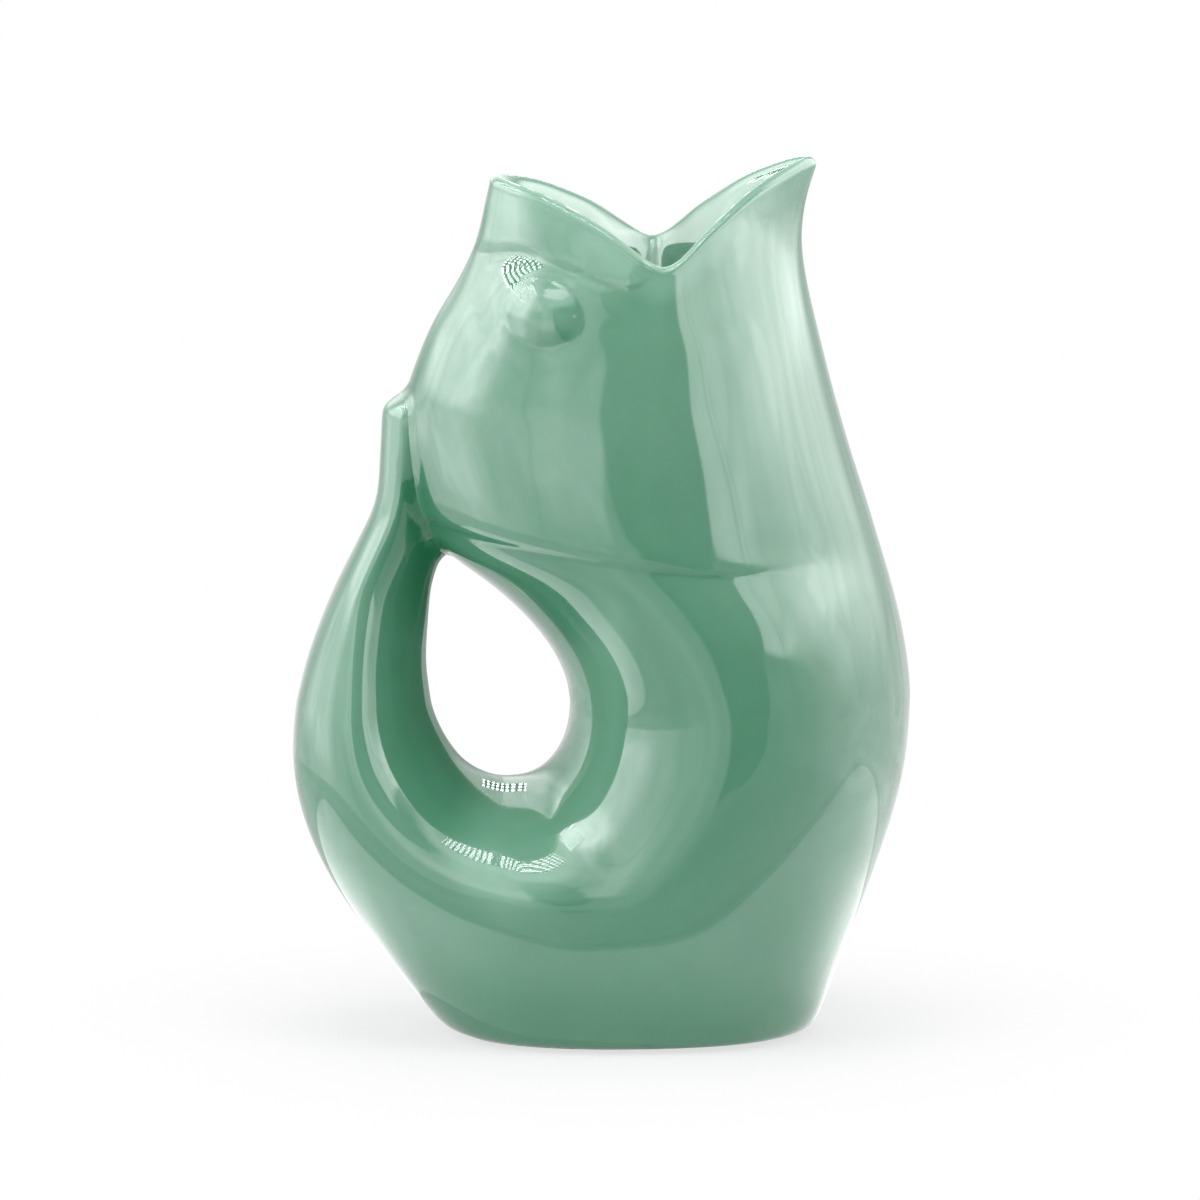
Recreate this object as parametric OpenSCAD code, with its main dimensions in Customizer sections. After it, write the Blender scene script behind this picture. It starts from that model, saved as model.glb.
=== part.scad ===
// A glazed stoneware gurgle jug in the form of an upright fish: the mouth pours, and the hollow
// tail curls up behind as the handle and traps the air that makes the jug gurgle.
// The fish looks up, its spout points to +X, its tail to -X, and Y = 0 is the mould's parting plane.

/* [Overall] */
// Length from the back of the tail to the front of the belly
jug_length = 188; // [150:1:230]
// Height from the table to the tip of the spout
jug_height = 267; // [215:1:320]
// Depth across the belly
jug_depth = 124; // [105:1:150]

/* [Clay wall] */
// Thickness of the cast wall
wall = 4.6; // [3.5:0.1:6]
// Thickness of the rounded lip of the mouth
lip = 5.6; // [3.5:0.1:7]
// Thickness of the clay floor
floor_thickness = 5.5; // [4:0.1:8]
// Height over which the wall rounds into the floor
base_round = 3.6; // [2:0.1:8]

/* [Foot ring] */
// Height of the unglazed foot ring
foot_height = 1.5; // [1:0.1:3]
// Breadth of clay in the foot ring
foot_breadth = 6; // [4:0.1:9]

/* [Tail] */
// Clay closing the top of the air chamber in the tail
chamber_cap = 7; // [5:0.5:12]
// Slip joint between the tail fin and the back of the head
lute = 0.3; // [0.2:0.05:0.5]

/* [Head] */
// Length of an eye
eye_length = 24; // [18:0.5:30]
// Height of an eye
eye_height = 20; // [15:0.5:25]
// Rise of an eye from the cheek
eye_rise = 5; // [3:0.1:7]
// Step of the gill cover over the shoulder
gill_step = 2.2; // [0:0.1:4]
// Rise of the upper lip band over the face
lip_band_rise = 1.6; // [0:0.1:3]

/* [Hidden] */

// Rings up the body, the tail and the fin, over the lip and over an eye, and points round an eye
body_rings = 28;
tail_rings = 9;
fin_rings = 10;
lip_rings = 3;
eye_rings = 5;
eye_spokes = 20;

// Angles of the bowl's rings round the grip, closest together at the two ends of the base
bowl_angles = [
    0, -5, -10, -15, -20, -24, -27, -30, -32, -34, -36, -38, -40, -43, -47, -52, -58, -64, -70, -76,
    -82, -87, -91, -95, -98, -101, -104, -107, -110, -114, -119, -125, -132, -139, -146, -153, -160,
    -167, -174, -180
];
// Turns of a ring's points from its outer end to the grip's side, closest together at the base
half_turns = [
    0, 6, 12, 18, 24, 30, 36, 42, 49, 56, 63, 71, 79, 87, 95, 104, 113, 122, 131, 141, 151, 161, 171
];
last_turn = len(half_turns) - 1;
turns = concat(half_turns, [180], [for (k = [last_turn:-1:1]) 360 - half_turns[k]]);
ring_points = len(turns);

glaze_colour = [0.47, 0.7, 0.58];
clay_colour = [0.85, 0.8, 0.72];

// The middle of the grip, as shares of the jug's length and height
grip_shares = [-0.163, 0.3777];

// The bowl, round the grip from the belly to the tail: the angle, then shares out from the grip's
// middle to the grip's edge and to the outline, the share of the way at which the section is
// deepest, and its half depth as a share of the jug's depth. The row before the seam with the body
// mirrors the one after it, so that the bowl and the body meet upright.
bowl_shares = [
    [15, 0.1140, 0.6375, 0.485, 0.496],
    [8, 0.1138, 0.6575, 0.500, 0.499],
    [0, 0.1136, 0.6635, 0.507, 0.500],
    [-8, 0.1138, 0.6575, 0.500, 0.499],
    [-15, 0.1140, 0.6375, 0.485, 0.496],
    [-30, 0.1110, 0.6220, 0.420, 0.482],
    [-45, 0.1045, 0.6400, 0.350, 0.468],
    [-60, 0.0965, 0.5760, 0.312, 0.456],
    [-75, 0.0895, 0.5080, 0.302, 0.446],
    [-90, 0.0862, 0.4410, 0.317, 0.428],
    [-105, 0.0850, 0.3790, 0.376, 0.394],
    [-120, 0.0865, 0.3465, 0.440, 0.360],
    [-135, 0.0900, 0.3380, 0.498, 0.326],
    [-150, 0.0945, 0.3426, 0.542, 0.293],
    [-165, 0.1020, 0.3450, 0.582, 0.261],
    [-180, 0.1119, 0.3293, 0.617, 0.230]
];

// How full the bowl's sections are on the grip's side and on the outer side: 1 is a straight flank,
// 2 an ellipse
bowl_fullness_shares = [
    [30, 1.85, 2.15],
    [0, 2.00, 2.10],
    [-30, 1.85, 2.15],
    [-60, 1.60, 2.20],
    [-90, 1.45, 2.25],
    [-120, 1.38, 2.25],
    [-150, 1.34, 2.25],
    [-180, 1.32, 2.25]
];

// The body and head: the height, then the back, the front and the deepest line as shares of the
// length from the middle, and the half depth as a share of the jug's depth. The first row mirrors
// the third.
body_shares = [
    [0.3318, -0.0673, 0.4956, 0.2190, 0.497],
    [0.3777, -0.0495, 0.5005, 0.2293, 0.500],
    [0.4236, -0.0673, 0.4956, 0.2190, 0.497],
    [0.4695, -0.1111, 0.4843, 0.1960, 0.487],
    [0.5154, -0.1793, 0.4680, 0.1620, 0.470],
    [0.5430, -0.2344, 0.4563, 0.1300, 0.458],
    [0.5614, -0.2669, 0.4486, 0.1100, 0.450],
    [0.6073, -0.2928, 0.4291, 0.0880, 0.440],
    [0.6647, -0.3105, 0.4031, 0.0720, 0.424],
    [0.7221, -0.3172, 0.3796, 0.0640, 0.400],
    [0.7680, -0.2977, 0.3626, 0.0640, 0.374],
    [0.8139, -0.2701, 0.3464, 0.0670, 0.344],
    [0.8598, -0.2312, 0.3318, 0.0770, 0.308],
    [0.9057, -0.2006, 0.3237, 0.0930, 0.272],
    [0.9517, -0.1858, 0.3310, 0.1010, 0.248],
    [1.0000, -0.1700, 0.3520, 0.1030, 0.232]
];

// How full the body's sections are at the back and at the front
body_fullness_shares = [
    [0.3777, 2.00, 2.10],
    [0.5600, 2.00, 2.10],
    [0.7221, 1.95, 2.05],
    [0.8139, 1.88, 1.96],
    [0.8800, 1.76, 1.68],
    [0.9400, 1.60, 1.37],
    [1.0000, 1.56, 1.24]
];

// The mouth's edge: the angle round the section from the spout, and the height as a share
rim_shares = [
    [-20, 0.9955],
    [0, 1.000],
    [20, 0.9955],
    [41, 0.9740],
    [59, 0.9425],
    [68, 0.9255],
    [78, 0.9020],
    [84, 0.8925],
    [90, 0.8925],
    [97, 0.8995],
    [106, 0.9150],
    [116, 0.9335],
    [125, 0.9470],
    [138, 0.9635],
    [152, 0.9735],
    [180, 0.9820],
    [208, 0.9735]
];

// The tail from the bowl to its tip: the height, shares out from the grip's middle to the edge on
// the grip's side and to the back, the share of the way to the ridge, and the half depth
tail_shares = [
    [0.3777, 0.1119, 0.3293, 0.617, 0.230],
    [0.4236, 0.1200, 0.3131, 0.640, 0.204],
    [0.4695, 0.1168, 0.2904, 0.668, 0.178],
    [0.5154, 0.1103, 0.2629, 0.704, 0.150],
    [0.5430, 0.0960, 0.2434, 0.715, 0.134],
    [0.5614, 0.0860, 0.2304, 0.730, 0.126],
    [0.6073, 0.0950, 0.2012, 0.690, 0.110],
    [0.6647, 0.1100, 0.1935, 0.600, 0.104],
    [0.7080, 0.1180, 0.1905, 0.560, 0.098],
    [0.7200, 0.1230, 0.1860, 0.550, 0.084],
    [0.7268, 0.1340, 0.1740, 0.550, 0.044]
];

// How full the tail's sections are on the grip's side and at the back
tail_fullness_shares = [
    [0.3777, 1.32, 2.25],
    [0.5154, 1.32, 2.20],
    [0.6073, 1.50, 2.00],
    [0.7268, 1.80, 1.90]
];

// Where the tail is luted to the fin, as a share of the height
fin_root_share = 0.5522;

// The crease under the gill cover: shares of the length, then of the height
gill_shares = [
    [-0.330, 0.600],
    [-0.260, 0.590],
    [-0.182, 0.582],
    [-0.090, 0.574],
    [0.035, 0.562],
    [0.197, 0.552],
    [0.392, 0.565],
    [0.520, 0.580]
];
gill_fade_share = 0.16;
gill_edge_share = 0.014;
// Where the gill's edge starts to fade towards the throat, and over how much of the length
gill_end_share = 0.40;
gill_taper_share = 0.22;

// The lower edge of the upper lip's band: shares of the length, then of the height
band_shares = [
    [-0.260, 0.898],
    [-0.187, 0.898],
    [-0.142, 0.903],
    [-0.096, 0.896],
    [-0.059, 0.886],
    [0.010, 0.873],
    [0.050, 0.868],
    [0.090, 0.880]
];
band_edge_share = 0.012;
band_corner_share = 0.070;

// The middle of an eye, as shares of the length and the height
eye_shares = [-0.1123, 0.8472];

// The foot ring's middle and length as shares of the jug's length, and its depth as a share of the
// jug's depth
foot_middle_share = 0.043;
foot_length_share = 0.545;
foot_depth_share = 0.630;
foot_fullness = 2.3;

// The row of a table that a value falls after
function row_of(keys, at) =
    let (rising = keys[1][0] > keys[0][0])
    let (passed = [for (i = [1:len(keys) - 2]) if (rising ? at >= keys[i][0] : at <= keys[i][0]) i])
    len(passed);

// The slope of one column of a table at a row
function slope_of(keys, i, column) =
    let (low = max(i - 1, 0))
    let (high = min(i + 1, len(keys) - 1))
    (keys[high][column] - keys[low][column]) / (keys[high][0] - keys[low][0]);

// One column of a table, smoothly between its rows
function smooth(keys, at, column) =
    let (i = row_of(keys, at))
    let (span = keys[i + 1][0] - keys[i][0])
    let (f = min(max((at - keys[i][0]) / span, 0), 1))
    let (a = keys[i][column])
    let (b = keys[i + 1][column])
    let (sa = slope_of(keys, i, column) * span)
    let (sb = slope_of(keys, i + 1, column) * span)
    a + f * (sa + f * (3 * (b - a) - 2 * sa - sb + f * (sa + sb - 2 * (b - a))));

function signed_power(value, power) = sign(value) * pow(abs(value), power);
function between(low, high, at) = low + (high - low) * at;
function ease(at) = let (f = min(max(at, 0), 1)) f * f * (3 - 2 * f);

// A point of a section: how far out it lies, and its depth
function section_point(t, near, far, deepest, half, full_near, full_far) =
    let (c = cos(t))
    let (power = 2 / between(full_near, full_far, (1 + c) / 2))
    let (reach = c < 0 ? deepest - near : far - deepest)
    [deepest + reach * signed_power(c, power), half * signed_power(sin(t), power)];

// The height of a point that rounds into a flat floor at a level
function rest_on(height, level) =
    let (above = height - level)
    above > base_round ? height
    : above < -base_round ? level
    : level + pow(above + base_round, 2) / (4 * base_round);

// A point of the bowl's section at an angle round the grip. The inset takes the clay's wall off.
function bowl_section(angle, t, inset) =
    let (unit = norm([jug_length * cos(angle), jug_height * sin(angle)]))
    let (near = smooth(bowl_shares, angle, 1) + inset / unit)
    let (far = smooth(bowl_shares, angle, 2) - inset / unit)
    let (deepest = between(near, far, smooth(bowl_shares, angle, 3)))
    let (half = smooth(bowl_shares, angle, 4) * jug_depth - inset)
    let (full_near = smooth(bowl_fullness_shares, angle, 1))
    let (full_far = smooth(bowl_fullness_shares, angle, 2))
    section_point(t, near, far, deepest, half, full_near, full_far);

function bowl_point(angle, t, inset, level) =
    let (p = bowl_section(angle, t, inset))
    [
        (grip_shares[0] + p[0] * cos(angle)) * jug_length,
        p[1],
        rest_on((grip_shares[1] + p[0] * sin(angle)) * jug_height, level)
    ];

// The step out of the cheek over the shoulder, and of the upper lip's band over the face
function gill_relief(x_share, z_share) =
    let (above = z_share - smooth(gill_shares, x_share, 1))
    gill_step * ease(above / gill_edge_share + 0.5) * ease(1 - above / gill_fade_share)
    * ease((gill_end_share - x_share) / gill_taper_share);
function band_relief(x_share, z_share) =
    let (above = z_share - smooth(band_shares, x_share, 1))
    lip_band_rise * ease(above / band_edge_share + 0.5)
    * ease((band_shares[len(band_shares) - 1][0] - x_share) / band_corner_share);

// A point of the body or head at a height
function body_point(z_share, t, inset) =
    let (near = smooth(body_shares, z_share, 1) + inset / jug_length)
    let (far = smooth(body_shares, z_share, 2) - inset / jug_length)
    let (deepest = smooth(body_shares, z_share, 3))
    let (half = smooth(body_shares, z_share, 4) * jug_depth - inset)
    let (full_near = smooth(body_fullness_shares, z_share, 1))
    let (full_far = smooth(body_fullness_shares, z_share, 2))
    let (p = section_point(t, near, far, deepest, half, full_near, full_far))
    let (relief = inset > 0 ? 0 : gill_relief(p[0], z_share) + band_relief(p[0], z_share))
    [p[0] * jug_length, p[1] + relief * sin(t), z_share * jug_height];

// The mouth's edge at an angle round the section
function rim_share(t) =
    smooth(rim_shares, t > 180 ? 360 - t : t, 1) - lip / 2 / jug_height;

// A ring of the body, a share of the way from the bowl to the mouth's edge
function body_ring(up, inset) = [
    for (t = turns)
        body_point(between(grip_shares[1], rim_share(t), up), t, inset)
];

// The rounded lip, from the outside over the edge to the inside
function lip_ring(over) =
    let (outside = body_ring(1, 0))
    let (inside = body_ring(1, lip))
    [
        for (j = [0:ring_points - 1])
            between(outside[j], inside[j], (1 - cos(180 * over)) / 2) + [0, 0, lip / 2 * sin(180 * over)]
    ];

// The wall thickens to the lip over the way up
function inset_at(up) = between(wall, lip, up);

function bowl_ring(angle, inset, level) = [for (t = turns) bowl_point(angle, t, inset, level)];

// A point of the tail at a height
function tail_point(z_share, t, inset) =
    let (near = smooth(tail_shares, z_share, 1) + inset / jug_length)
    let (far = smooth(tail_shares, z_share, 2) - inset / jug_length)
    let (deepest = between(near, far, smooth(tail_shares, z_share, 3)))
    let (half = smooth(tail_shares, z_share, 4) * jug_depth - inset)
    let (full_near = smooth(tail_fullness_shares, z_share, 1))
    let (full_far = smooth(tail_fullness_shares, z_share, 2))
    let (p = section_point(t, near, far, deepest, half, full_near, full_far))
    [(grip_shares[0] - p[0]) * jug_length, p[1], z_share * jug_height];

function tail_ring(z_share, inset) = [for (t = turns) tail_point(z_share, t, inset)];

// The back of the head at a height and a depth
function head_back(z_share, y) =
    let (back = smooth(body_shares, z_share, 1))
    let (deepest = smooth(body_shares, z_share, 3))
    let (half = smooth(body_shares, z_share, 4) * jug_depth)
    let (full = smooth(body_fullness_shares, z_share, 1))
    (deepest - (deepest - back) * pow(1 - pow(abs(y) / half, full), 1 / full)) * jug_length;

// A ring of the fin, cut to the back of the head
function fin_ring(z_share) = [
    for (p = tail_ring(z_share, 0))
        [min(p[0], head_back(z_share, p[1]) - lute), p[1], p[2]]
];

// The share of the section's turn at which a place along the head lies, by repeated trial
function turn_at(out, full_near, full_far, full, tries) =
    let (c = signed_power(out, full / 2))
    tries == 0 ? c
    : turn_at(out, full_near, full_far, between(full_near, full_far, (1 + c) / 2), tries - 1);

// The depth of the head's side at a place
function cheek(x_share, z_share) =
    let (back = smooth(body_shares, z_share, 1))
    let (front = smooth(body_shares, z_share, 2))
    let (deepest = smooth(body_shares, z_share, 3))
    let (half = smooth(body_shares, z_share, 4) * jug_depth)
    let (full_near = smooth(body_fullness_shares, z_share, 1))
    let (full_far = smooth(body_fullness_shares, z_share, 2))
    let (out = (x_share - deepest) / (x_share < deepest ? deepest - back : front - deepest))
    let (c = turn_at(out, full_near, full_far, full_near, 4))
    let (s = sqrt(1 - c * c))
    half * pow(s, 2 / between(full_near, full_far, (1 + c) / 2))
    + (gill_relief(x_share, z_share) + band_relief(x_share, z_share)) * s;

// Triangles between ring after ring of points
function skin(rings) = [
    for (i = [0:rings - 2])
        for (j = [0:ring_points - 1])
            let (k = (j + 1) % ring_points)
            let (a = i * ring_points + j)
            let (b = i * ring_points + k)
            let (c = a + ring_points)
            let (d = b + ring_points)
            each [[a, b, c], [b, d, c]]
];

// Triangles that join the last ring to the first
function closing(rings) = [
    for (j = [0:ring_points - 1])
        let (k = (j + 1) % ring_points)
        let (a = (rings - 1) * ring_points + j)
        let (b = (rings - 1) * ring_points + k)
        each [[a, b, j], [b, k, j]]
];

function flat_list(rings) = [for (ring = rings) each ring];
function middle_of(ring) = [for (p = ring) 1 / len(ring)] * ring;

// A closed band of rings: outside and inside skins that meet at both ends
module band(rings) {
    count = len(rings);
    turned = [for (i = [count - 1:-1:0]) each rings[i]];
    polyhedron(turned, concat(skin(count), closing(count)), convexity = 8);
}

// A closed form between two ends, each a fan round its own middle
module capped(rings) {
    count = len(rings);
    last = (count - 1) * ring_points;
    points = concat(flat_list(rings), [middle_of(rings[0]), middle_of(rings[count - 1])]);
    first_fan = [
        for (j = [0:ring_points - 1])
            [j, count * ring_points, (j + 1) % ring_points]
    ];
    last_fan = [
        for (j = [0:ring_points - 1])
            [last + j, last + (j + 1) % ring_points, count * ring_points + 1]
    ];
    polyhedron(points, concat(skin(count), first_fan, last_fan), convexity = 6);
}

// The bowl, body and head, open at the mouth and at the port to the tail
module body_shell() {
    last = len(bowl_angles) - 1;
    port_out = [for (i = [last:-1:1]) bowl_ring(bowl_angles[i], 0, foot_height)];
    up_out = [for (i = [0:body_rings - 1]) body_ring(i / body_rings, 0)];
    over = [for (i = [0:lip_rings + 1]) lip_ring(i / (lip_rings + 1))];
    down_in = [for (i = [body_rings - 2:-2:0]) body_ring(i / body_rings, inset_at(i / body_rings))];
    port_in = [for (i = [1:2:last]) bowl_ring(bowl_angles[i], wall, foot_height + floor_thickness)];
    color(glaze_colour)
        band(concat(port_out, up_out, over, down_in, port_in));
}

// The hollow of the tail ends under its cap of clay
function chamber_share() = fin_root_share - chamber_cap / jug_height;

// The hollow tail between the bowl and the fin, closed at its top
module tail_handle() {
    outside = [
        for (i = [0:tail_rings])
            tail_ring(between(grip_shares[1], fin_root_share, i / tail_rings), 0)
    ];
    inside = [
        for (i = [tail_rings:-1:0])
            tail_ring(between(grip_shares[1], chamber_share(), i / tail_rings), wall)
    ];
    out_count = len(outside);
    in_count = len(inside);
    top = (out_count - 1) * ring_points;
    roof = out_count * ring_points;
    middles = [middle_of(outside[out_count - 1]), middle_of(inside[0])];
    points = concat(flat_list(outside), flat_list(inside), middles);
    crown = len(points) - 2;
    dome = len(points) - 1;
    faces = concat(
        skin(out_count),
        [for (f = skin(in_count)) [f[0] + roof, f[1] + roof, f[2] + roof]],
        closing(out_count + in_count),
        [for (j = [0:ring_points - 1]) [top + j, top + (j + 1) % ring_points, crown]],
        [for (j = [0:ring_points - 1]) [roof + (j + 1) % ring_points, roof + j, dome]]
    );
    color(glaze_colour)
        polyhedron(points, faces, convexity = 8);
}

// The solid fin at the tip of the tail, luted to the back of the head
module tail_fin() {
    top_share = tail_shares[len(tail_shares) - 1][0];
    heights = [for (i = [0:fin_rings]) between(fin_root_share, top_share, sin(90 * i / fin_rings))];
    color(glaze_colour)
        capped([for (z_share = heights) fin_ring(z_share)]);
}

// The unglazed ring that the jug stands on
module foot_ring() {
    color(clay_colour)
        translate([foot_middle_share * jug_length, 0, 0])
            linear_extrude(foot_height)
                difference() {
                    polygon(foot_outline(0));
                    polygon(foot_outline(foot_breadth));
                }
}
function foot_outline(inset) = [
    for (t = turns)
        [
            (foot_length_share * jug_length / 2 - inset) * signed_power(cos(t), 2 / foot_fullness),
            (foot_depth_share * jug_depth / 2 - inset) * signed_power(sin(t), 2 / foot_fullness)
        ]
];

// A bulging eye, seated on the cheek
module eye(side) {
    spot = function (out, turn)
        let (x_share = eye_shares[0] + eye_length / 2 / jug_length * out * cos(turn))
        let (z_share = eye_shares[1] + eye_height / 2 / jug_height * out * sin(turn))
        [x_share, z_share];
    back = [
        for (i = [1:eye_rings])
            for (k = [0:eye_spokes - 1])
                let (s = spot(i / eye_rings, 360 * k / eye_spokes))
                [s[0] * jug_length, side * (cheek(s[0], s[1]) + lute), s[1] * jug_height]
    ];
    front = [
        for (i = [1:eye_rings])
            for (k = [0:eye_spokes - 1])
                let (out = sin(90 * i / eye_rings))
                let (s = spot(out, 360 * k / eye_spokes))
                let (rise = eye_rise * sqrt(1 - pow(out, 2)))
                [s[0] * jug_length, side * (cheek(s[0], s[1]) + lute + rise), s[1] * jug_height]
    ];
    middle = [
        eye_shares[0] * jug_length,
        side * (cheek(eye_shares[0], eye_shares[1]) + lute),
        eye_shares[1] * jug_height
    ];
    ring_count = eye_rings - 1;
    all_front = [for (i = [0:ring_count * eye_spokes - 1]) front[i]];
    start = len(back);
    points = concat(back, all_front, [middle, middle + [0, side * eye_rise, 0]]);
    sheet = function (from, rings)
        [
            for (i = [0:rings - 2])
                for (k = [0:eye_spokes - 1])
                    let (m = (k + 1) % eye_spokes)
                    let (a = from + i * eye_spokes + k)
                    let (b = from + i * eye_spokes + m)
                    each [[a, b, a + eye_spokes], [b, b + eye_spokes, a + eye_spokes]]
        ];
    hub = len(points) - 2;
    top = len(points) - 1;
    edge = (eye_rings - 1) * eye_spokes;
    last_front = start + (ring_count - 1) * eye_spokes;
    faces = concat(
        sheet(0, eye_rings),
        [for (f = sheet(start, ring_count)) [f[0], f[2], f[1]]],
        [for (k = [0:eye_spokes - 1]) [hub, (k + 1) % eye_spokes, k]],
        [for (k = [0:eye_spokes - 1]) [top, start + k, start + (k + 1) % eye_spokes]],
        [
            for (k = [0:eye_spokes - 1])
                let (m = (k + 1) % eye_spokes)
                each [[edge + k, edge + m, last_front + k], [edge + m, last_front + m, last_front + k]]
        ]
    );
    turned = side < 0 ? faces : [for (f = faces) [f[0], f[2], f[1]]];
    color(glaze_colour)
        polyhedron(points, turned, convexity = 4);
}

module left_eye() {
    eye(1);
}

module right_eye() {
    eye(-1);
}

foot_ring();
body_shell();
tail_handle();
tail_fin();
left_eye();
right_eye();
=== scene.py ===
import math
import bpy
import numpy as np
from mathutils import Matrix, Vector
from mathutils.kdtree import KDTree

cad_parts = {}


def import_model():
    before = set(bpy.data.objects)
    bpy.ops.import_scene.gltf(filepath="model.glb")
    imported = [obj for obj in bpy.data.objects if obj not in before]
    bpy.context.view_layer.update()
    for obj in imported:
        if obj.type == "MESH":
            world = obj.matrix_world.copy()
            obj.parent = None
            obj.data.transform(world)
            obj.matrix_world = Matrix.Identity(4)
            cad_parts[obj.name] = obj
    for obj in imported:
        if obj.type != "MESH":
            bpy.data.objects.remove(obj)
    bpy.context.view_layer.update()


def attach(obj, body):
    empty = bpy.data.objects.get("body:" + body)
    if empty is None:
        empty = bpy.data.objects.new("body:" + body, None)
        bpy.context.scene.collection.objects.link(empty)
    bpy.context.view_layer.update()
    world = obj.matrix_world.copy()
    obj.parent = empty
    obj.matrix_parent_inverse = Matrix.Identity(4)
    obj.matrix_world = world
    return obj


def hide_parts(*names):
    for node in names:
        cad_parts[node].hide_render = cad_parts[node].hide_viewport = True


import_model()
scene = bpy.context.scene

# Sizes, in metres
LENGTH, DEPTH, HEIGHT = 0.188, 0.124, 0.267
WALL, LIP, FLOOR = 0.0046, 0.0056, 0.0055
BASE_ROUND, FOOT = 0.0036, 0.0015
CHAMBER_CAP = 0.007

# The jug's sections, in much the same shares as the solids use. A row of BOWL starts with its angle
# round the grip, and one of BODY or TAIL with its height. Then come the section's near and far
# reach, its deepest place and its half depth. The FULL tables say how square its two sides are.
GRIP = (-0.163, 0.3777)
BOWL = [
    [15, 0.1140, 0.6375, 0.485, 0.496], [8, 0.1138, 0.6575, 0.500, 0.499],
    [0, 0.1136, 0.6635, 0.507, 0.500], [-8, 0.1138, 0.6575, 0.500, 0.499],
    [-15, 0.1140, 0.6375, 0.485, 0.496], [-30, 0.1110, 0.6220, 0.420, 0.482],
    [-45, 0.1045, 0.6400, 0.350, 0.468], [-60, 0.0965, 0.5760, 0.312, 0.456],
    [-75, 0.0895, 0.5080, 0.302, 0.446], [-90, 0.0862, 0.4410, 0.317, 0.428],
    [-105, 0.0850, 0.3790, 0.376, 0.394], [-120, 0.0865, 0.3465, 0.440, 0.360],
    [-135, 0.0900, 0.3380, 0.498, 0.326], [-150, 0.0945, 0.3426, 0.542, 0.293],
    [-165, 0.1020, 0.3450, 0.582, 0.261], [-180, 0.1119, 0.3293, 0.617, 0.230],
]
BOWL_FULL = [
    [30, 1.85, 2.15], [0, 2.00, 2.10], [-30, 1.85, 2.15], [-60, 1.60, 2.20],
    [-90, 1.45, 2.25], [-120, 1.38, 2.25], [-150, 1.34, 2.25], [-180, 1.32, 2.25],
]
BODY = [
    [0.3318, -0.0673, 0.4956, 0.2190, 0.497], [0.3777, -0.0495, 0.5005, 0.2293, 0.500],
    [0.4236, -0.0673, 0.4956, 0.2190, 0.497], [0.4695, -0.1111, 0.4843, 0.1960, 0.487],
    [0.5154, -0.1793, 0.4680, 0.1620, 0.470], [0.5430, -0.2344, 0.4563, 0.1300, 0.458],
    [0.5614, -0.2669, 0.4486, 0.1100, 0.450], [0.6073, -0.2928, 0.4291, 0.0880, 0.440],
    [0.6647, -0.3105, 0.4031, 0.0720, 0.424], [0.7221, -0.3172, 0.3796, 0.0640, 0.400],
    [0.7680, -0.2977, 0.3626, 0.0640, 0.374], [0.8139, -0.2701, 0.3464, 0.0670, 0.344],
    [0.8598, -0.2312, 0.3318, 0.0770, 0.308], [0.9057, -0.2006, 0.3237, 0.0930, 0.272],
    [0.9517, -0.1858, 0.3310, 0.1010, 0.248], [1.0000, -0.1700, 0.3520, 0.1030, 0.232],
]
BODY_FULL = [
    [0.3777, 2.00, 2.10], [0.5600, 2.00, 2.10], [0.7221, 1.95, 2.05], [0.8139, 1.88, 1.96],
    [0.8800, 1.76, 1.68], [0.9400, 1.60, 1.37], [1.0000, 1.56, 1.24],
]

# The lip's height by the angle round the head, from the pouring side at 0 to the back at 180
RIM = [
    [-20, 0.9955], [0, 1.000], [20, 0.9955], [41, 0.9740], [59, 0.9425], [68, 0.9255],
    [78, 0.9020], [84, 0.8925], [90, 0.8925], [97, 0.8995], [106, 0.9150], [116, 0.9335],
    [125, 0.9470], [138, 0.9635], [152, 0.9735], [180, 0.9820], [208, 0.9735],
]

TAIL = [
    [0.3777, 0.1119, 0.3293, 0.617, 0.230], [0.4236, 0.1200, 0.3131, 0.640, 0.204],
    [0.4695, 0.1168, 0.2904, 0.700, 0.178], [0.5154, 0.1103, 0.2629, 0.765, 0.150],
    [0.5430, 0.0960, 0.2434, 0.765, 0.134], [0.5614, 0.0860, 0.2304, 0.760, 0.126],
    [0.6073, 0.0950, 0.2012, 0.690, 0.110], [0.6647, 0.1100, 0.1935, 0.600, 0.104],
    [0.7080, 0.1180, 0.1905, 0.560, 0.098],
]
TAIL_FULL = [[0.3777, 1.32, 2.25], [0.5154, 1.32, 2.20], [0.6073, 1.50, 2.00], [0.7268, 1.80, 1.90]]
FIN_ROOT, FIN_SHOULDER, FIN_TOP = 0.5522, 0.7080, 0.7268

# The lower edges of the gill cover and of the band along the upper lip: place, then height
GILL = [
    [-0.330, 0.600], [-0.260, 0.590], [-0.182, 0.582], [-0.090, 0.574], [0.035, 0.562],
    [0.197, 0.552], [0.392, 0.565], [0.520, 0.580],
]
BAND = [
    [-0.260, 0.898], [-0.187, 0.898], [-0.142, 0.903], [-0.096, 0.896], [-0.059, 0.886],
    [0.010, 0.873], [0.047, 0.868], [0.068, 0.880],
]

POINTS = 256
TURNS = np.linspace(0, 2 * math.pi, POINTS, endpoint=False)
BODY_RINGS, BOWL_RINGS, TAIL_RINGS, FIN_RINGS, TIP_RINGS, LIP_RINGS = 165, 170, 50, 45, 10, 24


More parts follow.
